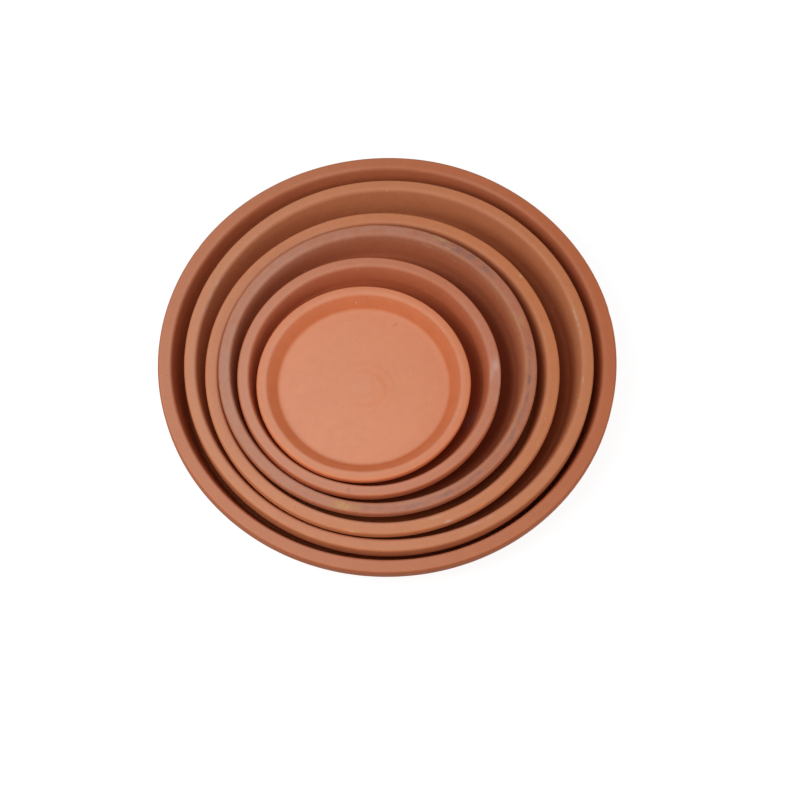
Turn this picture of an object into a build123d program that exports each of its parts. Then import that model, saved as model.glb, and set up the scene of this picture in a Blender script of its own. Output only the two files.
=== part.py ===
from build123d import *
import os
from math import cos, radians, sin, tan

# Six one-piece terracotta saucers, nested; lengths in mm, +Z up, the largest stands on z = 0 at the origin

# Outermost saucer: rim diameter, foot diameter, height, upright band under the rim, width of the flat rim,
# round of its inner lip, floor thickness, round between dish wall and floor, and the wall's lean in degrees
RIM_DIAMETER = 320.0
FOOT_DIAMETER = 290.0
HEIGHT_1 = 40.0
BAND_1 = 8.8
LIP_1 = 9.7
LIP_ROUND_1 = 3.0
FLOOR_1 = 9.0
CORNER_1 = 10.0
DISH_LEAN_1 = 16.0

# Second saucer: its nest gap is how much less its radius is than the mouth and the floor it stands in,
# its bearing is the direction from +X in which it has slid there, and its slide is a share of the play
HEIGHT_2 = 36.0
BAND_2 = 11.5
LIP_2 = 8.7
LIP_ROUND_2 = 3.5
FLOOR_2 = 8.5
CORNER_2 = 9.0
DISH_LEAN_2 = 16.0
NEST_GAP_2 = 8.0
BEARING_2 = -74.0
SLIDE_SHARE_2 = 0.69

# Third saucer
HEIGHT_3 = 32.5
BAND_3 = 6.0
LIP_3 = 9.15
LIP_ROUND_3 = 3.0
FLOOR_3 = 8.0
CORNER_3 = 8.0
DISH_LEAN_3 = 16.0
NEST_GAP_3 = 11.18
BEARING_3 = -114.4
SLIDE_SHARE_3 = 1.0

# Fourth saucer
HEIGHT_4 = 29.5
BAND_4 = 6.0
LIP_4 = 8.55
LIP_ROUND_4 = 3.0
FLOOR_4 = 7.5
CORNER_4 = 7.0
DISH_LEAN_4 = 16.0
NEST_GAP_4 = 3.46
BEARING_4 = -179.1
SLIDE_SHARE_4 = 1.0

# Fifth saucer
HEIGHT_5 = 25.0
BAND_5 = 7.0
LIP_5 = 8.1
LIP_ROUND_5 = 3.0
FLOOR_5 = 8.0
CORNER_5 = 6.0
DISH_LEAN_5 = 18.0
NEST_GAP_5 = 10.8
BEARING_5 = -126.4
SLIDE_SHARE_5 = 1.0

# Innermost saucer, a shallower dish with a wider lean
HEIGHT_6 = 18.0
BAND_6 = 5.0
LIP_6 = 6.2
LIP_ROUND_6 = 8.0
FLOOR_6 = 9.5
CORNER_6 = 8.0
DISH_LEAN_6 = 48.0
NEST_GAP_6 = 9.02
BEARING_6 = -120.0
SLIDE_SHARE_6 = 0.965

# Values that all six share: the band's lean in degrees, the rim's crisp outer edge, the eased edge under
# the band, the round heel, the foot ring and the shallow hollow inside it
BAND_LEAN = 2.0
EDGE_ROUND = 1.8
BAND_ROUND = 2.5
HEEL_ROUND = 3.5
FOOT_WIDTH = 15.0
FOOT_HOLLOW = 1.4
HOLLOW_LEAN = 55.0
HOLLOW_ROUND = 1.0

# Least gap between the walls of two nested saucers
WALL_CLEARANCE = 0.2


class Saucer:
    """A saucer turned about its own axis, with its foot on z = 0."""

    def __init__(self, name, rim, heel, height, band, lip, lip_round, floor, corner, dish_lean):
        self.name = name
        self.rim = rim
        self.heel = heel
        self.height = height
        self.band_low = height - band
        self.lip = lip
        self.lip_round = lip_round
        self.floor = floor
        self.corner = corner
        self.dish_lean = dish_lean

    def outer(self, z):
        """Radius of the outside at a height: the band, and under it the wall that runs in to the heel."""
        if z >= self.band_low:
            return self.rim - (self.height - z) * tan(radians(BAND_LEAN))
        return self.heel + (self.outer(self.band_low) - self.heel) * z / self.band_low

    def inner(self, z):
        """Radius of the dish wall at a height."""
        return self.rim - self.lip - (self.height - z) * tan(radians(self.dish_lean))

    def flat_floor(self):
        """Radius of the flat floor, where the round of the dish begins."""
        return self.inner(self.floor) - self.corner * tan(radians(90 - self.dish_lean) / 2)

    def next_in(self, name, height, band, lip, lip_round, floor, corner, dish_lean, nest_gap):
        """The saucer that nests in this one."""
        rim = self.inner(self.height) - nest_gap
        heel = self.flat_floor() - nest_gap
        return Saucer(name, rim, heel, height, band, lip, lip_round, floor, corner, dish_lean)

    def play(self, inside):
        """How far a saucer can slide on this one's floor before the walls are a clearance apart."""
        depth = self.height - self.floor
        levels = (0, min(depth, inside.band_low), min(depth, inside.height))
        walls = [self.inner(self.floor + z) - inside.outer(z) for z in levels[1:]]
        return min(self.flat_floor() - inside.heel, *walls) - WALL_CLEARANCE

    def solid(self):
        """The section is drawn with sharp corners, the corners are rounded, and it is turned about Z."""
        hollow_edge = self.heel - FOOT_WIDTH
        hollow = (hollow_edge - FOOT_HOLLOW * tan(radians(HOLLOW_LEAN)), FOOT_HOLLOW)
        heel = (self.heel, 0)
        band = (self.outer(self.band_low), self.band_low)
        edge = (self.rim, self.height)
        lip = (self.rim - self.lip, self.height)
        corner = (self.inner(self.floor), self.floor)
        outline = Polyline((0, FOOT_HOLLOW), hollow, (hollow_edge, 0), heel, band, edge, lip, corner,
                           (0, self.floor), close=True)
        section = make_face(outline)
        rounds = ((hollow, HOLLOW_ROUND), (heel, HEEL_ROUND), (band, BAND_ROUND), (edge, EDGE_ROUND),
                  (lip, self.lip_round), (corner, self.corner))
        for point, size in rounds:
            section = fillet(section.vertices().sort_by_distance(point)[0], size)
        return revolve(Plane.XZ * section, Axis.Z)


saucer_1 = Saucer("outermost_saucer", RIM_DIAMETER / 2, FOOT_DIAMETER / 2, HEIGHT_1, BAND_1, LIP_1,
                  LIP_ROUND_1, FLOOR_1, CORNER_1, DISH_LEAN_1)
saucer_2 = saucer_1.next_in("second_saucer", HEIGHT_2, BAND_2, LIP_2, LIP_ROUND_2, FLOOR_2, CORNER_2,
                            DISH_LEAN_2, NEST_GAP_2)
saucer_3 = saucer_2.next_in("third_saucer", HEIGHT_3, BAND_3, LIP_3, LIP_ROUND_3, FLOOR_3, CORNER_3,
                            DISH_LEAN_3, NEST_GAP_3)
saucer_4 = saucer_3.next_in("fourth_saucer", HEIGHT_4, BAND_4, LIP_4, LIP_ROUND_4, FLOOR_4, CORNER_4,
                            DISH_LEAN_4, NEST_GAP_4)
saucer_5 = saucer_4.next_in("fifth_saucer", HEIGHT_5, BAND_5, LIP_5, LIP_ROUND_5, FLOOR_5, CORNER_5,
                            DISH_LEAN_5, NEST_GAP_5)
saucer_6 = saucer_5.next_in("innermost_saucer", HEIGHT_6, BAND_6, LIP_6, LIP_ROUND_6, FLOOR_6, CORNER_6,
                            DISH_LEAN_6, NEST_GAP_6)

# Each foot stands on the floor under it, slid along its bearing by its share of the play
nest = [(saucer_1, Vector(0, 0, 0))]
for saucer, bearing, share in ((saucer_2, BEARING_2, SLIDE_SHARE_2), (saucer_3, BEARING_3, SLIDE_SHARE_3),
                               (saucer_4, BEARING_4, SLIDE_SHARE_4), (saucer_5, BEARING_5, SLIDE_SHARE_5),
                               (saucer_6, BEARING_6, SLIDE_SHARE_6)):
    under, place = nest[-1]
    slide = share * under.play(saucer)
    step = Vector(slide * cos(radians(bearing)), slide * sin(radians(bearing)), under.floor)
    nest.append((saucer, place + step))

os.makedirs("parts", exist_ok=True)
for saucer, place in nest:
    solid = Pos(place) * saucer.solid()
    solid.label = saucer.name
    export_step(solid, f"parts/{saucer.name}.step")
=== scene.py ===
"""Nest of six unglazed terracotta plant saucers, turned about their axes and dressed in fired clay."""
import math

import bpy
import numpy as np
from bpy.props import FloatProperty, FloatVectorProperty, PointerProperty
from bpy.types import Operator, Panel, PropertyGroup
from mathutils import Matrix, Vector


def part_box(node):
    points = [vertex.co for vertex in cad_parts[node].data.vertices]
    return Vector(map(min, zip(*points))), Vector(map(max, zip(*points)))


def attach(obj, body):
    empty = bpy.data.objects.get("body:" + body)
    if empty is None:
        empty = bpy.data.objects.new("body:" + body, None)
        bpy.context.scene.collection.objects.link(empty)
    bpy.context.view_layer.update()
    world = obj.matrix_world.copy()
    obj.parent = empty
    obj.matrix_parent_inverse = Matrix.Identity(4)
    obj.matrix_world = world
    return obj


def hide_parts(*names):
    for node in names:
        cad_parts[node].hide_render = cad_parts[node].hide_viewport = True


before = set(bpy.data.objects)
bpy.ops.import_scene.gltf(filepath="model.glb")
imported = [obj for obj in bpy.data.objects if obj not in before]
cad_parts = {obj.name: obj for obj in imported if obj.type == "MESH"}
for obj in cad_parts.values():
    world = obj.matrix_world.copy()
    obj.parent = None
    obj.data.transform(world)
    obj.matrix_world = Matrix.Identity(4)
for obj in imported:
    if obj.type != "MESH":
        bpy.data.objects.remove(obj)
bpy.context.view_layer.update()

bl_info = {
    "name": "Terracotta Saucer Nest",
    "version": (1, 0, 0),
    "blender": (4, 5, 0),
    "location": "View3D > Sidebar > Saucers",
    "description": "Turns a nest of terracotta plant saucers and sets them on a pale studio floor",
    "category": "Add Mesh",
}

SAUCERS = (
    "outermost_saucer",
    "second_saucer",
    "third_saucer",
    "fourth_saucer",
    "fifth_saucer",
    "innermost_saucer",
)
INNERMOST = len(SAUCERS) - 1
MM = 0.001
FULL_TURN = 2 * math.pi

# Section values that all six saucers share
BAND_LEAN = math.radians(2)
BAND_ROUND = 2.5 * MM
HEEL_ROUND = 3.5 * MM
HOLLOW_LEAN = math.radians(55)
HOLLOW_ROUND = 1.0 * MM

# Mesh: columns round the axis, then the gap and the fewest and most steps along a round
COLUMNS = 600
ROUND_GAP = 0.45 * MM
LEAST_STEPS = 4
MOST_STEPS = 14

# Gaps along the straight runs: foot hollow, its slope, foot ring, outside wall, band, rim and dish wall
RUN_GAPS = tuple(gap * MM for gap in (9.0, 0.8, 3.0, 3.0, 0.9, 0.55, 0.9))
COVERED_FLOOR_GAP = 3.5 * MM
OPEN_FLOOR_GAP = 1.0 * MM

# Waves in the relief: offset of the seed, turns about the axis, pitch along the section and number
FIRST_SEED = 40
SEED_STEP = 10
WOBBLE_WAVES = (0, (2, 7), (0.08, 0.3), 9)
RING_WAVES = (1, (0, 2), (0.0035, 0.0075), 8)
SWELL_WAVES = (2, (2, 11), (0.012, 0.05), 16)
RAGGED_WAVES = (3, (60, 160), (0.002, 0.005), 12)
DRIFT_WAVES = (4, (1, 3), (0.02, 0.05), 6)

# Relief: depths of the turning rings and of the clay's swell, and the swirl on the open floor
LIP_EASE = 1.5 * MM
RING_DEPTH = 0.07 * MM
SWELL_DEPTH = 0.10 * MM
SWIRL_DEPTH = 0.18 * MM
SWIRL_PITCH = 6.5 * MM
SWIRL_RADIUS = 13 * MM
SWIRL_REACH = 8 * MM
SWIRL_DRIFT = 2.5

# Chips: height along the section, and the depth at which fresh clay shows in full
CHIP_HEIGHT = 1.1 * MM
CHIP_FULL = 0.35 * MM

# Dust and painted sheen: the slope and the height from which they settle, the bearing where the painted sheen
# is strongest, the reach of the lip's wear and painted highlight, and what the innermost saucer has more at
# its hub and less at its rim and in its swirl
SETTLE_FROM = 0.78
SETTLE_SPAN = 0.2
RIM_FROM = 0.7
SHEEN_BEARING = math.radians(208)
INNERMOST_SHEEN = 0.6
LIP_HIGHLIGHT_REACH = 1.8 * MM
WASH_REACH = 4.5 * MM
WASH_SHARE = 0.5
HUB_REACH = 7 * MM
HUB_DUST = 0.03
RIM_LOSS = 0.05
SWIRL_LOSS = 0.06

# Painted shade, which darkens the floors round a foot and the innermost dish: how far it reaches under a
# foot, the run to full shade, the shares of the wall that it climbs, its level and how much more of it lies
# to the right and the near side
SHADE_UNDER_FOOT = 4 * MM
SHADE_RUN = 7 * MM
SHADE_CLIMB = 0.12
FIFTH_SHADE_CLIMB = 0.35
RIM_SHADE = 0.10
SHADE_LEVEL = 0.80
SHADE_RIGHT = 0.22
SHADE_NEAR = 0.18

# Chips on the rims, the outermost first: bearing in degrees, 1 for the inner lip, length and depth in mm
CHIPS = (
    ((205, 0, 3.0, 0.5), (148, 0, 2.4, 0.4), (12, 0, 2.6, 0.4), (305, 0, 2.2, 0.35), (80, 1, 2.0, 0.3)),
    ((20, 1, 3.0, 0.35), (33, 1, 2.2, 0.3), (150, 0, 2.0, 0.35), (262, 0, 2.4, 0.35)),
    ((259, 0, 3.4, 0.7), (303, 0, 3.2, 0.6), (278, 0, 1.8, 0.35), (100, 1, 2.0, 0.3)),
    ((62, 0, 3.6, 0.5), (70, 0, 2.4, 0.4), (228, 0, 2.2, 0.4), (10, 1, 2.4, 0.3)),
    ((45, 1, 2.6, 0.4), (12, 0, 2.0, 0.3), (275, 0, 1.8, 0.3)),
    ((250, 0, 1.6, 0.3), (55, 1, 1.8, 0.25)),
)

# Marks on the clay, the outermost first: bearing in degrees, share of the way across the rim (over 1 down the
# dish), width round the rim and height along the section in mm, and strength
MARKS = (
    {
        "slate": ((162.8, 1.1, 8, 2.0, 0.4),),
    },
    {
        "bloom": ((160, 1.08, 12, 2.0, 0.4),),
        "ochre_and_painted_light": (
            # The wide ochre at 0 and at 92 degrees is partly painted light on the dish wall, at the right and
            # low on the far side
            (15, 0.96, 12, 0.8, 0.8), (353, 1.02, 8, 0.7, 0.5), (0, 1.5, 70, 4, 0.25),
            (103.5, 2.74, 8, 0.6, 0.5), (95, 3.1, 10, 0.7, 0.6), (86.5, 3.35, 8, 0.6, 0.45),
            (92, 3.5, 60, 7, 0.18),
        ),
        "chalk_and_painted_highlight": (
            (32.9, 3.94, 0.9, 0.7, 0.5), (28.2, 3.89, 0.7, 0.6, 0.5), (23.6, 3.8, 0.9, 0.8, 0.5),
            (22.3, 4.2, 0.7, 0.6, 0.4), (88.5, 3.39, 0.8, 0.6, 0.4), (84, 3.42, 0.9, 0.6, 0.4),
            # The chalk along the inner lip at the right, from 346.2 to 15.5 degrees, is partly a painted
            # highlight on the lip's round
            (15.5, 1.0, 1.6, 0.6, 0.45), (13.5, 1.0, 2.2, 0.6, 0.55), (11, 0.96, 1.6, 0.5, 0.42),
            (8, 0.88, 1.8, 0.5, 0.38), (352.8, 0.92, 2.4, 0.5, 0.42), (346.2, 1.13, 1.2, 0.6, 0.38),
            (295.6, 0.80, 3.5, 0.5, 0.4), (292.6, 0.86, 2.0, 0.5, 0.35), (300, 0.78, 1.6, 0.5, 0.3),
            (154.4, 0.98, 2.2, 0.6, 0.35), (159.2, 1.0, 2.6, 0.6, 0.35), (164.5, 0.97, 1.5, 0.5, 0.3),
        ),
    },
    {
        "bloom": ((295, 0.25, 1.8, 0.8, 0.6),),
        "ochre_and_painted_light": ((36.5, 0.17, 1.6, 0.8, 0.9), (288, 0.72, 4, 0.8, 0.8), (261, 0.04, 3, 0.8, 0.6)),
        "chalk_and_painted_highlight": (
            (286.9, 0.78, 1.5, 0.6, 0.45), (288.8, 0.75, 1.1, 0.6, 0.45), (291.5, 0.05, 2.4, 0.9, 0.5),
            (260, 0.03, 2.6, 0.7, 0.4), (36, 0.2, 1.0, 0.6, 0.4),
        ),
    },
    {
        "bloom": (
            (92, 0.45, 70, 6, 0.48), (135, 0.5, 70, 7, 0.42), (185, 0.55, 75, 7, 0.54),
            (232, 0.5, 60, 6, 0.40), (285, 0.5, 50, 6, 0.32), (345, 0.4, 70, 5, 0.36),
            (40, 0.45, 60, 6, 0.36), (75, 0.5, 50, 6, 0.42), (220, 0.21, 5, 0.9, 0.6),
            (57.5, 1.83, 2.2, 0.6, 0.7), (65, 1.43, 1.8, 0.6, 0.7), (87, 1.52, 1.6, 0.6, 0.6),
        ),
        "slate": (
            (68, 0.34, 10, 3.0, 0.9), (60, 0.40, 11, 3.4, 1.1), (52, 0.44, 10, 3.2, 1.1),
            (45, 0.50, 8, 2.6, 0.9), (12, 0.55, 8, 1.5, 0.6), (6, 0.58, 8, 1.3, 1.0),
            (0, 0.62, 8, 1.2, 1.2), (353.5, 0.66, 7, 1.2, 1.15), (346, 0.58, 8, 1.3, 1.0),
            (338, 0.60, 9, 1.8, 0.8), (330, 0.55, 9, 2.0, 0.75), (310, 0.5, 14, 2.4, 0.68),
            (297, 0.45, 16, 2.2, 0.66), (283, 0.35, 16, 2.0, 0.58), (268, 0.55, 18, 2.0, 0.38),
        ),
        "ochre_and_painted_light": (
            (258, 0.45, 6.5, 2.6, 1.3), (262.5, 0.5, 4, 1.6, 0.7), (66, 0.25, 8, 1.6, 0.8),
            (61.8, 0.83, 1.6, 0.8, 0.8), (69.5, 1.5, 4.5, 0.7, 0.85), (18, 0.5, 5, 1.6, 0.5),
            # The two wide ochre marks at 352 and 25 degrees are partly painted light on the upper dish wall
            # at the right
            (352, 1.4, 45, 3.2, 0.42), (25, 1.4, 45, 3.2, 0.3),
        ),
        "chalk_and_painted_highlight": ((288.5, -0.7, 2.2, 0.5, 0.4),),
    },
    {
        "bloom": (
            (354, 0.10, 12, 0.8, 0.9), (347, 0.08, 10, 0.8, 0.6), (20, 0.5, 36, 5, 0.3),
            (350, 0.5, 36, 5, 0.32), (340.3, 3.0, 5, 2.6, 0.5),
        ),
        "slate": ((337.5, 3.4, 5, 2.2, 1.2), (261.2, 0.35, 0.8, 2.5, 0.8)),
        "chalk_and_painted_highlight": (
            (6.2, 0.25, 4, 1.8, 0.22), (3.6, 0.42, 4.5, 2.6, 0.48), (0.6, 0.78, 4, 1.8, 0.32),
            (358.4, 0.90, 3, 1.4, 0.25),
        ),
    },
    {
        "slate": ((64.8, 4.32, 0.9, 0.6, 1.9), (66.8, 4.68, 0.5, 0.5, 1.4)),
    },
)

# Noise in the clay, per metre: scale, detail and roughness
BLOTCH_NOISE = (17.0, 4.0, 0.6)
MOTTLE_NOISE = (130.0, 5.0, 0.65)
GRAIN_NOISE = (950.0, 2.0, 0.6)
LINE_NOISE = (1.0, 3.0, 0.6)

# Lines round the axis, per metre: how close they lie, and how fast rings and streaks change along them
LINE_STEPS = 420.0
RING_CHANGE = 7.0
STREAK_CHANGE = 130.0

# Shares of blotches, mottle, rings and grain in the clay's tone
TONE_SHARES = (0.40, 0.80, 0.16, 0.64)

# Pores, painted darker as shade in their pits, and pale flecks, the bump of the clay and its faint sheen
PORE_SCALE = 210.0
FLECK_COLOUR = (0.72, 0.55, 0.42, 1.0)
BUMP_STRENGTH = 0.35
BUMP_DEPTH = 0.35 * MM
SHEEN = 0.06

# Stage: half the floor's side, its glow and the sky's light, and the lights' names, places, sizes and watts
WHITE = (1.0, 1.0, 1.0, 1.0)
FLOOR_HALF = 4.0
FLOOR_GLOW = 0.86
SKY_LIGHT = 0.42
LIGHT_TARGET = (0.0, -0.01, 0.05)
LIGHTS = (
    ("key_light", (-0.292, -0.280, 0.687), 0.40, 1.85),
    ("right_light", (1.255, -0.346, 0.80), 0.8, 3.0),
    ("left_light", (-1.077, -0.299, 1.054), 0.8, 2.8),
)


def from_srgb(red, green, blue):
    """Linear colour of an sRGB colour given in steps of 255."""
    share = np.array((red, green, blue)) / 255.0
    linear = np.where(share <= 0.04045, share / 12.92, ((share + 0.055) / 1.055) ** 2.4)
    return tuple(float(value) for value in linear)


class SaucerSizes(PropertyGroup):
    """Sizes of the six saucers, the outermost first; rim, height and place come from the frame."""

    lip: FloatVectorProperty(
        name="Rim widths", description="Width of each flat rim", size=6, unit="LENGTH",
        default=(0.0097, 0.0087, 0.00915, 0.00855, 0.0081, 0.0062))
    band: FloatVectorProperty(
        name="Bands", description="Height of the upright band under each rim", size=6, unit="LENGTH",
        default=(0.0088, 0.0115, 0.0060, 0.0060, 0.0070, 0.0050))
    floor: FloatVectorProperty(
        name="Floors", description="Thickness of each floor", size=6, unit="LENGTH",
        default=(0.0090, 0.0085, 0.0080, 0.0075, 0.0080, 0.0095))
    corner: FloatVectorProperty(
        name="Corners", description="Round between each dish wall and its floor", size=6, unit="LENGTH",
        default=(0.010, 0.009, 0.008, 0.007, 0.006, 0.008))
    lean: FloatVectorProperty(
        name="Dish leans", description="Lean of each dish wall from upright", size=6, unit="ROTATION",
        default=tuple(math.radians(a) for a in (16, 16, 16, 16, 18, 48)))
    lip_round: FloatVectorProperty(
        name="Inner lips", description="Round of each rim's inner lip", size=6, unit="LENGTH",
        default=(0.003, 0.0035, 0.003, 0.003, 0.003, 0.008))
    foot: FloatProperty(
        name="Foot", description="Radius of the outermost foot at its heel", default=0.145, unit="LENGTH")
    foot_width: FloatProperty(
        name="Foot ring", description="Width of the ring that a saucer stands on", default=0.015,
        unit="LENGTH")
    foot_hollow: FloatProperty(
        name="Foot hollow", description="Depth of the hollow inside the foot ring", default=0.0014,
        unit="LENGTH")
    edge_round: FloatProperty(
        name="Outer edge", description="Round of the rim's outer edge", default=0.0018, unit="LENGTH")
    wobble: FloatProperty(
        name="Hand wobble", description="How far the hand-finished rim departs from true", default=0.0005,
        unit="LENGTH")


class ClayColours(PropertyGroup):
    """Colours of the fired clay, of what lies on it, and of the painted shade, sheen and highlights on it."""

    outermost: FloatVectorProperty(
        name="Outermost", description="Clay of the outermost saucer", size=3, subtype="COLOR", min=0, max=1,
        default=(0.548, 0.159, 0.065))
    second: FloatVectorProperty(
        name="Second", description="Clay of the second saucer", size=3, subtype="COLOR", min=0, max=1,
        default=(0.612, 0.212, 0.092))
    third: FloatVectorProperty(
        name="Third", description="Clay of the third saucer", size=3, subtype="COLOR", min=0, max=1,
        default=(0.624, 0.210, 0.087))
    fourth: FloatVectorProperty(
        name="Fourth", description="Clay of the fourth saucer", size=3, subtype="COLOR", min=0, max=1,
        default=(0.512, 0.156, 0.072))
    fifth: FloatVectorProperty(
        name="Fifth", description="Clay of the fifth saucer", size=3, subtype="COLOR", min=0, max=1,
        default=(0.574, 0.159, 0.067))
    innermost: FloatVectorProperty(
        name="Innermost", description="Clay of the innermost saucer", size=3, subtype="COLOR", min=0, max=1,
        default=(0.770, 0.224, 0.088))
    # Dust with a painted sheen: pale on what faces up, and painted lighter towards the near left
    dust_and_sheen: FloatVectorProperty(
        name="Dust", description="Pale dust on what faces up", size=3, subtype="COLOR", min=0, max=1,
        default=(0.90, 0.74, 0.60))
    dust_and_sheen_shares: FloatVectorProperty(
        name="Dust shares", description="How much dust each saucer has, the outermost first", size=6,
        min=0, max=1, default=(0.082, 0.080, 0.084, 0.08, 0.150, 0.182))
    near_left_sheen: FloatProperty(
        name="Dust drift", description="How much more dust lies to the near left than to the far right",
        min=0, max=1, default=0.072)
    # The pale inner lip is partly wear and partly a painted highlight on its round
    lip_wear_and_highlight: FloatProperty(
        name="Lip wear", description="How pale the worn inner lips are", min=0, max=1, default=0.10)
    # Painted shade: the share of its colour that a shaded floor keeps, and how dark the innermost dish wall
    # is painted
    painted_shade: FloatVectorProperty(
        name="Damp", description="Share of its colour that a damp floor keeps", size=3, subtype="COLOR",
        min=0, max=1, default=(0.45, 0.29, 0.22))
    wall_painted_shade: FloatProperty(
        name="Innermost wall", description="How damp the wall of the innermost dish is", min=0, max=1,
        default=0.27)
    bloom: FloatVectorProperty(
        name="Bloom", description="Grey-pink salts that dry on the rim", size=3, subtype="COLOR",
        min=0, max=1, default=from_srgb(188, 156, 141))
    slate: FloatVectorProperty(
        name="Slate", description="Blue-grey scuffs", size=3, subtype="COLOR", min=0, max=1,
        default=from_srgb(122, 101, 100))
    # Yellow clay patches; some wide ones are partly painted light on dish walls
    ochre_and_painted_light: FloatVectorProperty(
        name="Ochre", description="Yellow clay patch", size=3, subtype="COLOR", min=0, max=1,
        default=from_srgb(205, 158, 106))
    # Pale rubbed streaks and specks, and partly a painted highlight along one lip
    chalk_and_painted_highlight: FloatVectorProperty(
        name="Chalk", description="Pale rubbed streak and specks", size=3, subtype="COLOR", min=0, max=1,
        default=from_srgb(218, 198, 186))


class StageLook(PropertyGroup):
    """Camera and floor."""

    target: FloatVectorProperty(
        name="Target", description="Point that the camera looks at", size=3, subtype="TRANSLATION",
        unit="LENGTH", default=(0.0089, -0.03417, 0.040))
    distance: FloatProperty(
        name="Distance", description="From the camera to its target", default=1.3772, unit="LENGTH")
    elevation: FloatProperty(
        name="Elevation", description="Camera's height over the floor, as an angle",
        default=math.radians(65.952), unit="ROTATION")
    lens: FloatProperty(name="Lens", description="Focal length", default=90.0, unit="CAMERA")
    floor_colour: FloatVectorProperty(
        name="Floor", description="Pale studio floor", size=3, subtype="COLOR", min=0, max=1,
        default=(0.30, 0.30, 0.30))


class SaucerNest(PropertyGroup):
    """Everything that a user would change."""

    sizes: PointerProperty(type=SaucerSizes)
    clay: PointerProperty(type=ClayColours)
    stage: PointerProperty(type=StageLook)


def rim_radius(name):
    """Radius of a saucer's rim, and its box, from the frame."""
    low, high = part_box(name)
    return 0.25 * (high.x - low.x + high.y - low.y), low, high


def heel_radius(index, sizes):
    """Radius of a foot at its heel.

    It is as much smaller than the flat floor under it as its rim is smaller than the mouth that it stands in.
    The flat floor is the mouth less the dish wall's lean and less the corner's tangent, round times tan of
    half the angle that the wall makes with the floor.
    """
    if index == 0:
        return sizes.foot
    under = index - 1
    low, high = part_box(SAUCERS[under])
    lean = sizes.lean[under]
    drop = (high.z - low.z - sizes.floor[under]) * math.tan(lean)
    corner = sizes.corner[under] * math.tan((math.pi / 2 - lean) / 2)
    return rim_radius(SAUCERS[index])[0] - drop - corner


def corner_arc(before, point, after, size):
    """Points of the arc that rounds a corner.

    It is tangent to both sides: the tangent points lie size / tan(half the angle) from the corner, and the
    arc turns about the point that lies size / sin(half the angle) along the bisector.
    """
    back = (before - point) / np.linalg.norm(before - point)
    ahead = (after - point) / np.linalg.norm(after - point)
    half = 0.5 * math.acos(float(np.clip(back @ ahead, -1, 1)))
    bisector = (back + ahead) / np.linalg.norm(back + ahead)
    centre = point + bisector * size / math.sin(half)
    start = point + back * size / math.tan(half)
    end = point + ahead * size / math.tan(half)
    low = math.atan2(*(start - centre)[::-1])
    turn = (math.atan2(*(end - centre)[::-1]) - low + math.pi) % FULL_TURN - math.pi
    steps = max(LEAST_STEPS, int(math.ceil(abs(turn) * size / ROUND_GAP)))
    angle = low + turn * np.linspace(0, 1, min(steps, MOST_STEPS) + 1)
    return centre + size * np.stack((np.cos(angle), np.sin(angle)), 1)


def rounded_section(corners, rounds, gaps):
    """Points along a section, with its corners rounded and each straight run filled at its own gap."""
    corners = np.array(corners, float)
    pieces = []
    last = corners[0]
    for k in range(1, len(corners)):
        arc = corners[k][None]
        if rounds[k]:
            arc = corner_arc(corners[k - 1], corners[k], corners[k + 1], rounds[k])
        run = np.linalg.norm(arc[0] - last)
        steps = max(1, int(math.ceil(run / gaps[k - 1])))
        share = np.linspace(0, 1, steps + 1)[:-1, None]
        pieces.append(last + (arc[0] - last) * share)
        pieces.append(arc[:-1])
        last = arc[-1]
    pieces.append(last[None])
    return np.concatenate(pieces)


def sum_of_waves(around, along, seed, turns, pitch, count):
    """Soft noise on a surface: a sum of cosines with random turns about the axis and random pitch."""
    random = np.random.default_rng(seed)
    turn = random.integers(turns[0], turns[1] + 1, count)
    step = FULL_TURN / random.uniform(pitch[0], pitch[1], count) * random.choice((-1, 1), count)
    phase = random.uniform(0, FULL_TURN, count)
    field = np.zeros(np.broadcast_shapes(around.shape, along.shape))
    for m, k, p in zip(turn, step, phase):
        field += np.cos(m * around + k * along + p)
    return field / math.sqrt(count * 2)


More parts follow.
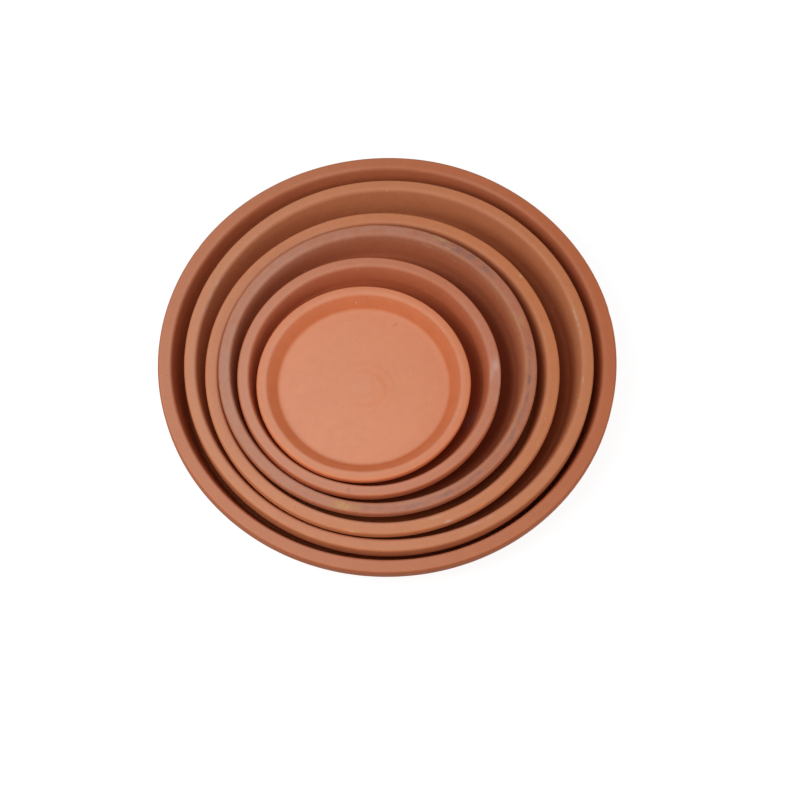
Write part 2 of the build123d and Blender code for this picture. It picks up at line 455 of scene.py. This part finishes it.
class TurnedSaucer:
    """One saucer as a surface of revolution, and the marks on it.

    The section runs from the axis out under the foot, up the wall and band, over the rim and down the dish to
    the axis again. Arrays with one column follow the section, and arrays with one row go round the axis.
    """

    def __init__(self, index, sizes, clay):
        self.index = index
        self.sizes = sizes
        self.clay = clay
        self.rim, self.low, high = rim_radius(SAUCERS[index])
        self.centre = (self.low + high) / 2
        self.height = high.z - self.low.z
        self.floor = sizes.floor[index]
        self.band_low = self.height - sizes.band[index]
        self.mouth = self.rim - sizes.lip[index]
        self.seed = FIRST_SEED + SEED_STEP * index

        self.section = self.turned_section()
        self.radius = self.section[1:-1, 0][:, None]
        self.level = self.section[1:-1, 1][:, None]
        lengths = np.linalg.norm(np.diff(self.section[1:-1], axis=0), axis=1)
        self.along = np.concatenate(((0,), np.cumsum(lengths)))[:, None]
        self.around = np.linspace(0, FULL_TURN, COLUMNS, endpoint=False)[None]
        step = np.gradient(self.section, axis=0)[1:-1]
        step /= np.linalg.norm(step, axis=1, keepdims=True)
        self.normal = np.stack((step[:, 1], -step[:, 0]), 1)

        self.edge_at = self.along_at(self.rim)
        self.lip_at = self.along_at(self.mouth)
        self.inside = np.clip((self.along - self.lip_at) / LIP_EASE, 0, 1)
        self.rise = np.clip((self.level - self.floor) / (self.height - self.floor), 0, 1)
        self.swell = self.soft_noise(*SWELL_WAVES)
        self.swirl = self.floor_swirl() if index == INNERMOST else None
        self.chipped = self.chips()
        self.grid = self.turned_grid()

    def turned_section(self):
        """Section with its corners rounded."""
        index = self.index
        sizes = self.sizes
        heel = heel_radius(index, sizes)
        hollow_edge = heel - sizes.foot_width
        hollow = hollow_edge - sizes.foot_hollow * math.tan(HOLLOW_LEAN)
        band = self.rim - sizes.band[index] * math.tan(BAND_LEAN)
        dish = self.mouth - (self.height - self.floor) * math.tan(sizes.lean[index])
        corners = (
            (0, sizes.foot_hollow), (hollow, sizes.foot_hollow), (hollow_edge, 0), (heel, 0),
            (band, self.band_low), (self.rim, self.height), (self.mouth, self.height), (dish, self.floor),
            (0, self.floor),
        )
        rounds = (0, HOLLOW_ROUND, 0, HEEL_ROUND, BAND_ROUND, sizes.edge_round, sizes.lip_round[index],
                  sizes.corner[index], 0)
        floor_gap = OPEN_FLOOR_GAP if index == INNERMOST else COVERED_FLOOR_GAP
        return rounded_section(corners, rounds, (*RUN_GAPS, floor_gap))

    def along_at(self, radius):
        """Length along the section to the point nearest to a corner of the rim."""
        nearest = np.argmin(np.hypot(self.radius - radius, self.level - self.height))
        return float(self.along[nearest][0])

    def waves(self, offset, turns, pitch, count):
        """Waves about 0."""
        return sum_of_waves(self.around, self.along, self.seed + offset, turns, pitch, count)

    def soft_noise(self, offset, turns, pitch, count):
        """Waves from 0 to 1."""
        return 0.5 + 0.5 * np.clip(self.waves(offset, turns, pitch, count), -1, 1)

    def spot(self, bearing, place, wide, tall):
        """Soft spot: exp of minus the squared distance, in its widths round the rim and along the section."""
        turn = (self.around - math.radians(bearing) + math.pi) % FULL_TURN - math.pi
        return np.exp(-(turn * self.rim / wide) ** 2 - ((self.along - place) / tall) ** 2)

    def floor_swirl(self):
        """Spiral cos(a + 2 pi r / pitch) that fades away from a ring round the middle of the floor."""
        drift = self.waves(*DRIFT_WAVES)
        spiral = np.cos(self.around + FULL_TURN * self.radius / SWIRL_PITCH + SWIRL_DRIFT * drift)
        ring = np.exp(-((self.radius - SWIRL_RADIUS) / SWIRL_REACH) ** 2)
        return (0.5 + 0.5 * spiral) * ring * (0.55 + 0.45 * np.cos(self.around)) * self.inside

    def chips(self):
        """Depth of the chips on the rim's edges."""
        depth = np.zeros((len(self.along), COLUMNS))
        for bearing, edge, length, deep in CHIPS[self.index]:
            place = self.lip_at if edge else self.edge_at
            depth += deep * MM * self.spot(bearing, place, length * MM, CHIP_HEIGHT)
        return depth

    def relief(self):
        """Depth of hand wobble, turning rings, swell, swirl and chips.

        It only takes clay away, so the saucer stays in its own space.
        """
        rimmed = np.clip((self.level - self.band_low) / (self.height - self.band_low), 0, 1)
        depth = self.sizes.wobble * rimmed * self.soft_noise(*WOBBLE_WAVES)
        depth = depth + RING_DEPTH * self.inside * self.soft_noise(*RING_WAVES)
        depth = depth + SWELL_DEPTH * self.swell
        if self.swirl is not None:
            depth = depth + SWIRL_DEPTH * self.swirl
        ragged = 0.75 + 0.5 * self.waves(*RAGGED_WAVES)
        return depth + self.chipped * np.clip(ragged, 0.2, 1.4)

    def turned_grid(self):
        """Points (r cos a, r sin a, z), moved inwards along the section's normal by the relief."""
        relief = self.relief()
        far = self.radius - relief * self.normal[:, :1]
        tall = self.level - relief * self.normal[:, 1:]
        return np.stack((far * np.cos(self.around), far * np.sin(self.around), tall), 2)

    def points(self):
        """The grid's points and the two ends of the axis, in place."""
        poles = np.array(((0, 0, self.section[0, 1]), (0, 0, self.section[-1, 1])))
        place = np.array((self.centre.x, self.centre.y, self.low.z))
        return np.concatenate((self.grid.reshape(-1, 3), poles)) + place

    def painted(self, kind):
        """Strongest of the marks of one kind."""
        share = np.zeros_like(self.chipped)
        for bearing, across, wide, tall, strength in MARKS[self.index].get(kind, ()):
            place = self.edge_at + across * (self.lip_at - self.edge_at)
            share = np.maximum(share, strength * self.spot(bearing, place, wide * MM, tall * MM))
        return share

    def open_flat(self):
        """1 where dust and painted sheen settle: on the rims, and on the floor that no other saucer stands
        on.
        """
        up = np.clip(self.normal[:, 1], 0, 1)[:, None]
        settled = np.clip((up - SETTLE_FROM) / SETTLE_SPAN, 0, 1)
        settled = settled * settled * (3 - 2 * settled)
        return settled if self.index == INNERMOST else settled * (self.rise > RIM_FROM)

    def dust_and_sheen(self):
        """Share of dust and painted sheen, with more painted sheen to the near left, and the lip's wear and
        painted highlight.
        """
        index = self.index
        clay = self.clay
        flat = self.open_flat()
        # Painted sheen: stronger towards the near left
        near_left = np.cos(self.around - SHEEN_BEARING) * self.radius / self.rim
        dust_and_sheen_level = clay.dust_and_sheen_shares[index]
        if index == INNERMOST:
            dust_and_sheen_level = dust_and_sheen_level + clay.near_left_sheen * near_left * INNERMOST_SHEEN
            dust_and_sheen_level = dust_and_sheen_level - RIM_LOSS * self.rise - SWIRL_LOSS * self.swirl
            dust_and_sheen_level = dust_and_sheen_level + HUB_DUST * np.exp(-(self.radius / HUB_REACH) ** 2)
        else:
            dust_and_sheen_level = dust_and_sheen_level + clay.near_left_sheen * near_left
        past_lip = self.along - self.lip_at
        # Pale inner lip: partly wear, partly a painted highlight on the lip's round
        worn_and_highlight = clay.lip_wear_and_highlight * np.exp(-(past_lip / LIP_HIGHLIGHT_REACH) ** 2) * (0.4 + 0.6 * self.swell)
        fading = np.exp(-np.clip(past_lip, 0, None) / WASH_REACH)
        washed = clay.lip_wear_and_highlight * WASH_SHARE * fading * self.inside * (1 - flat)
        return np.clip(dust_and_sheen_level, 0, 1) * flat + np.maximum(worn_and_highlight, washed)

    def painted_shade(self):
        """Share of painted shade: on floors round the foot that stands there, and on the innermost wall and
        rim.
        """
        # Painted shade on the innermost dish: on its wall, and a little on its flat rim
        if self.index == INNERMOST:
            flat = self.open_flat()
            share = np.maximum(self.clay.wall_painted_shade * (1 - flat), RIM_SHADE * self.rise * flat)
            on_dish = np.clip((self.along - self.edge_at) / LIP_EASE, 0, 1)
            return np.broadcast_to(share * on_dish, self.chipped.shape)
        over = self.index + 1
        over_low, over_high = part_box(SAUCERS[over])
        aside = (over_low + over_high) / 2 - self.centre
        reach = np.hypot(self.grid[..., 0] - aside.x, self.grid[..., 1] - aside.y)
        bare = reach - heel_radius(over, self.sizes)
        climb = FIFTH_SHADE_CLIMB if over == INNERMOST else SHADE_CLIMB
        share = np.clip((bare + SHADE_UNDER_FOOT) / SHADE_RUN, 0, 1) * np.clip(1 - self.rise / climb, 0, 1)
        # Painted shade is stronger to the right and on the near side
        sided = SHADE_LEVEL + SHADE_RIGHT * np.cos(self.around) - SHADE_NEAR * np.sin(self.around)
        return share * np.clip(sided, 0, 1) * self.inside

    def marks(self):
        """Shares of each mark on the grid's points."""
        marks = {kind: self.painted(kind) for kind in ("bloom", "slate", "ochre_and_painted_light", "chalk_and_painted_highlight")}
        marks["chip"] = np.clip(self.chipped / CHIP_FULL, 0, 1)
        marks["dust_and_sheen"] = self.dust_and_sheen()
        marks["painted_shade"] = self.painted_shade()
        return marks


def saucer_mesh(name, saucer):
    """Mesh of a closed grid: quads between its rings, and a fan of triangles at each end of the axis."""
    points = saucer.points()
    rows, columns = saucer.grid.shape[:2]
    ring = np.arange(rows * columns).reshape(rows, columns)
    ahead = np.roll(ring, -1, 1)
    quads = np.stack((ring[:-1], ahead[:-1], ahead[1:], ring[1:]), 2).reshape(-1, 4)
    under = np.stack((ahead[0], ring[0], np.full(columns, rows * columns)), 1)
    over = np.stack((ring[-1], ahead[-1], np.full(columns, rows * columns + 1)), 1)
    loops = np.concatenate((quads.ravel(), under.ravel(), over.ravel()))
    starts = np.concatenate((np.arange(len(quads)) * 4, quads.size + np.arange(2 * columns) * 3))
    mesh = bpy.data.meshes.new(name)
    mesh.vertices.add(len(points))
    mesh.vertices.foreach_set("co", points.astype(np.float32).ravel())
    mesh.loops.add(len(loops))
    mesh.loops.foreach_set("vertex_index", loops.astype(np.int32))
    mesh.polygons.add(len(starts))
    mesh.polygons.foreach_set("loop_start", starts.astype(np.int32))
    mesh.polygons.foreach_set("use_smooth", np.ones(len(starts), bool))
    mesh.update(calc_edges=True)
    mesh.validate()
    for kind, values in saucer.marks().items():
        ends = (values[0].mean(), values[-1].mean())
        layer = mesh.attributes.new(kind, "FLOAT", "POINT")
        layer.data.foreach_set("value", np.concatenate((values.ravel(), ends)).astype(np.float32))
    return mesh


class ClayNodes:
    """Short way to add shader nodes and wire them up."""

    def __init__(self, material):
        material.use_nodes = True
        self.tree = material.node_tree
        self.tree.nodes.clear()

    def add(self, kind, values=None, **settings):
        """New node with its settings, and with values or links on its inputs."""
        node = self.tree.nodes.new(kind)
        for key, value in settings.items():
            setattr(node, key, value)
        for socket, value in (values or {}).items():
            if isinstance(value, bpy.types.NodeSocket):
                self.tree.links.new(value, node.inputs[socket])
            else:
                node.inputs[socket].default_value = value
        return node

    def math(self, operation, a, b=0.0, c=0.0, clamp=False):
        """Sum, product or comparison of values."""
        node = self.add("ShaderNodeMath", {0: a, 1: b, 2: c}, operation=operation, use_clamp=clamp)
        return node.outputs[0]

    def noise(self, vector, scale, detail, rough):
        """Cloudy noise about 0.5."""
        values = {"Vector": vector, "Scale": scale, "Detail": detail, "Roughness": rough}
        return self.add("ShaderNodeTexNoise", values).outputs[0]

    def span(self, value, low, high, to_low=0.0, to_high=1.0, smooth=True):
        """Value moved from one range to another and held there."""
        kind = "SMOOTHSTEP" if smooth else "LINEAR"
        values = {"Value": value, "From Min": low, "From Max": high, "To Min": to_low, "To Max": to_high}
        return self.add("ShaderNodeMapRange", values, interpolation_type=kind).outputs[0]

    def mix(self, share, a, b, blend="MIX"):
        """Two colours mixed by a share."""
        values = {0: share, 6: a, 7: b}
        return self.add("ShaderNodeMix", values, data_type="RGBA", blend_type=blend).outputs[2]

    def mark(self, kind):
        """Share of a mark on the mesh's points."""
        node = self.add("ShaderNodeAttribute", attribute_name=kind, attribute_type="GEOMETRY")
        return node.outputs["Fac"]

    def seen(self):
        """1 on rays from the camera and on reflected or transmitted ones, 0 on the others."""
        path = self.add("ShaderNodeLightPath").outputs
        sight = self.math("ADD", path["Is Camera Ray"], path["Is Glossy Ray"])
        return self.math("ADD", sight, path["Is Transmission Ray"], clamp=True)


def shade(colour, factor, warm=0.0):
    """Linear colour scaled by a factor, with red raised and blue lowered by a share."""
    red, green, blue = (c * factor for c in colour)
    return (min(1.0, red * (1 + warm)), green, blue * (1 - warm), 1.0)


def lined_noise(nodes, axes, climb, change):
    """Noise in lines round the axis, which change slowly along themselves."""
    east = nodes.math("MULTIPLY", axes[0], change)
    north = nodes.math("MULTIPLY", axes[1], change)
    lined = nodes.add("ShaderNodeCombineXYZ", {0: east, 1: north, 2: climb}).outputs[0]
    return nodes.noise(lined, *LINE_NOISE)


def fired_clay(name, clay, place, colours):
    """Unglazed fired clay: mottled colour, turning rings, grain, pores, dried salts, scuffs and chips."""
    material = bpy.data.materials.new(name)
    nodes = ClayNodes(material)
    here = nodes.add("ShaderNodeTexCoord").outputs["Object"]
    away = (-place[0], -place[1], -place[2])
    at = nodes.add("ShaderNodeMapping", {"Vector": here, "Location": away}).outputs[0]
    axes = nodes.add("ShaderNodeSeparateXYZ", {0: at}).outputs
    flat = nodes.add("ShaderNodeCombineXYZ", {0: axes[0], 1: axes[1]}).outputs[0]
    reach = nodes.add("ShaderNodeVectorMath", {0: flat}, operation="LENGTH").outputs["Value"]
    climb = nodes.math("MULTIPLY", nodes.math("ADD", reach, axes[2]), LINE_STEPS)
    rings = lined_noise(nodes, axes, climb, RING_CHANGE)
    streaks = lined_noise(nodes, axes, climb, STREAK_CHANGE)
    blotch = nodes.noise(at, *BLOTCH_NOISE)
    mottle = nodes.noise(at, *MOTTLE_NOISE)
    grain = nodes.noise(at, *GRAIN_NOISE)

    # Tone is 0.5 plus each noise's departure from 0.5 times its share
    tone = 0.5 - 0.5 * sum(TONE_SHARES)
    for noise, share in zip((blotch, mottle, rings, grain), TONE_SHARES):
        tone = nodes.math("MULTIPLY_ADD", noise, share, tone)
    colour = nodes.mix(tone, shade(clay, 0.86, 0.03), shade(clay, 1.13, -0.03))

    # What lies on the clay, from painted shade and dust with painted sheen to fresh chips
    # Painted shade multiplies the colour darker and redder on covered floors and in the innermost dish
    colour = nodes.mix(nodes.mark("painted_shade"), colour, (*colours.painted_shade, 1.0), blend="MULTIPLY")
    # Dust and painted sheen pale what faces up, more to the near left, and the inner lips
    colour = nodes.mix(nodes.mark("dust_and_sheen"), colour, (*colours.dust_and_sheen, 1.0))
    salts = nodes.math("MULTIPLY", nodes.mark("bloom"), nodes.span(mottle, 0.32, 0.62, 0.35, 1.0))
    salts = nodes.math("MULTIPLY", salts, nodes.span(grain, 0.3, 0.7, 0.6, 1.0))
    colour = nodes.mix(salts, colour, (*colours.bloom, 1.0))
    gritty = nodes.span(grain, 0.36, 0.60, 0.35, 1.0)
    scuff = nodes.math("MULTIPLY", nodes.mark("slate"), nodes.span(streaks, 0.30, 0.66))
    colour = nodes.mix(nodes.math("MULTIPLY", scuff, gritty), colour, (*colours.slate, 1.0))
    # Ochre patches, some of them partly painted light on dish walls
    yellow = nodes.math("MULTIPLY", nodes.mark("ochre_and_painted_light"), nodes.span(mottle, 0.3, 0.5, 0.45, 1.0))
    colour = nodes.mix(nodes.math("MULTIPLY", yellow, gritty), colour, (*colours.ochre_and_painted_light, 1.0))
    # Chalk, and along one lip partly a painted highlight
    colour = nodes.mix(nodes.mark("chalk_and_painted_highlight"), colour, (*colours.chalk_and_painted_highlight, 1.0))
    colour = nodes.mix(nodes.math("MULTIPLY", nodes.mark("chip"), 0.55), colour, shade(clay, 1.22, 0.02))

    # Pores and flecks sit in a few of the cells; the pores are painted darker, painted shade in their pits
    cells = nodes.add("ShaderNodeTexVoronoi", {"Vector": at, "Scale": PORE_SCALE}, feature="F1").outputs
    lot = nodes.add("ShaderNodeSeparateColor", {0: cells["Color"]}).outputs
    pore = nodes.span(cells["Distance"], 0.05, 0.11, 1.0, 0.0)
    pore = nodes.math("MULTIPLY", pore, nodes.math("GREATER_THAN", lot[0], 0.90))
    fleck = nodes.span(cells["Distance"], 0.05, 0.13, 1.0, 0.0)
    fleck = nodes.math("MULTIPLY", fleck, nodes.math("LESS_THAN", lot[1], 0.07))
    colour = nodes.mix(nodes.math("MULTIPLY", pore, 0.5), colour, shade(clay, 0.42, 0.05))
    colour = nodes.mix(nodes.math("MULTIPLY", fleck, 0.6), colour, FLECK_COLOUR)

    height = nodes.math("MULTIPLY_ADD", mottle, 0.5, nodes.math("MULTIPLY", grain, 0.35))
    height = nodes.math("ADD", height, nodes.math("MULTIPLY", rings, 0.5))
    height = nodes.math("SUBTRACT", height, nodes.math("MULTIPLY", pore, 0.9))
    bump = nodes.add("ShaderNodeBump", {
        "Strength": BUMP_STRENGTH, "Distance": BUMP_DEPTH, "Height": height}).outputs[0]
    rough = nodes.span(grain, 0.3, 0.7, 0.46, 0.58, smooth=False)
    surface = nodes.add("ShaderNodeBsdfPrincipled", {
        "Base Color": colour, "Roughness": rough, "Normal": bump, "Specular IOR Level": SHEEN})
    nodes.add("ShaderNodeOutputMaterial", {"Surface": surface.outputs[0]})
    return material


class NEST_OT_turn_saucers(Operator):
    """Turn the six saucers and dress them in fired clay"""

    bl_idname = "nest.turn_saucers"
    bl_label = "Turn the saucers"

    def execute(self, context):
        nest = context.scene.saucer_nest
        clay = nest.clay
        clays = (clay.outermost, clay.second, clay.third, clay.fourth, clay.fifth, clay.innermost)
        for index, name in enumerate(SAUCERS):
            saucer = TurnedSaucer(index, nest.sizes, clay)
            piece = bpy.data.objects.new(name + "_clay", saucer_mesh(name + "_clay", saucer))
            context.scene.collection.objects.link(piece)
            place = (saucer.centre.x, saucer.centre.y, saucer.low.z)
            piece.data.materials.append(fired_clay(name + "_fired", tuple(clays[index]), place, clay))
            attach(piece, name)
            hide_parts(name)
        return {"FINISHED"}


def soft_light(name, place, size, power):
    """Square area light that faces the saucers."""
    lamp = bpy.data.lights.new(name, "AREA")
    lamp.shape = "SQUARE"
    lamp.size = size
    lamp.energy = power
    holder = bpy.data.objects.new(name, lamp)
    bpy.context.scene.collection.objects.link(holder)
    holder.location = place
    holder.rotation_euler = (Vector(LIGHT_TARGET) - Vector(place)).to_track_quat("-Z", "Y").to_euler()
    holder.visible_camera = False


def studio_floor(scene, colour):
    """Square floor that looks white and keeps the shadow."""
    mesh = bpy.data.meshes.new("studio_floor")
    signs = ((-1, -1), (1, -1), (1, 1), (-1, 1))
    mesh.from_pydata([(FLOOR_HALF * x, FLOOR_HALF * y, 0) for x, y in signs], [], [(0, 1, 2, 3)])
    floor = bpy.data.objects.new("studio_floor", mesh)
    scene.collection.objects.link(floor)
    paper = bpy.data.materials.new("studio_paper")
    nodes = ClayNodes(paper)
    surface = nodes.add("ShaderNodeBsdfPrincipled", {
        "Base Color": (*colour, 1.0), "Roughness": 1.0, "Specular IOR Level": 0.0, "Emission Color": WHITE,
        "Emission Strength": nodes.math("MULTIPLY", nodes.seen(), FLOOR_GLOW)})
    nodes.add("ShaderNodeOutputMaterial", {"Surface": surface.outputs[0]})
    mesh.materials.append(paper)


def studio_air(scene):
    """World that looks white and lights the saucers softly."""
    world = bpy.data.worlds.new("studio_air")
    scene.world = world
    nodes = ClayNodes(world)
    strength = nodes.span(nodes.seen(), 0.0, 1.0, SKY_LIGHT, 1.0, smooth=False)
    air = nodes.add("ShaderNodeBackground", {"Color": WHITE, "Strength": strength})
    nodes.add("ShaderNodeOutputWorld", {"Surface": air.outputs[0]})


def photo_camera(scene, stage):
    """Camera that looks down at its target from the near side."""
    camera = bpy.data.cameras.new("photo_camera")
    camera.lens = stage.lens
    camera.sensor_width = 36.0
    camera.clip_start = 0.05
    holder = bpy.data.objects.new("photo_camera", camera)
    scene.collection.objects.link(holder)
    ahead = Vector((0.0, math.cos(stage.elevation), -math.sin(stage.elevation)))
    holder.location = Vector(stage.target) - ahead * stage.distance
    holder.rotation_euler = (math.pi / 2 - stage.elevation, 0.0, 0.0)
    scene.camera = holder


class NEST_OT_set_stage(Operator):
    """Lay the pale floor and set the lights and the camera"""

    bl_idname = "nest.set_stage"
    bl_label = "Set the stage"

    def execute(self, context):
        stage = context.scene.saucer_nest.stage
        studio_floor(context.scene, stage.floor_colour)
        studio_air(context.scene)
        for name, place, size, power in LIGHTS:
            soft_light(name, place, size, power)
        photo_camera(context.scene, stage)
        context.scene.view_settings.view_transform = "Standard"
        return {"FINISHED"}


class NEST_PT_saucers(Panel):
    """Saucers and their stage"""

    bl_idname = "NEST_PT_saucers"
    bl_label = "Saucers"
    bl_space_type = "VIEW_3D"
    bl_region_type = "UI"
    bl_category = "Saucers"

    def draw(self, context):
        nest = context.scene.saucer_nest
        for group in (nest.sizes, nest.clay, nest.stage):
            for key in group.bl_rna.properties.keys():
                if key not in {"rna_type", "name"}:
                    self.layout.prop(group, key)
        self.layout.operator(NEST_OT_turn_saucers.bl_idname)
        self.layout.operator(NEST_OT_set_stage.bl_idname)


CLASSES = (
    SaucerSizes,
    ClayColours,
    StageLook,
    SaucerNest,
    NEST_OT_turn_saucers,
    NEST_OT_set_stage,
    NEST_PT_saucers,
)


def register():
    for cls in CLASSES:
        bpy.utils.register_class(cls)
    bpy.types.Scene.saucer_nest = PointerProperty(type=SaucerNest)


def unregister():
    del bpy.types.Scene.saucer_nest
    for cls in reversed(CLASSES):
        bpy.utils.unregister_class(cls)


def main():
    register()
    bpy.ops.nest.turn_saucers()
    bpy.ops.nest.set_stage()


if __name__ == "__main__":
    main()
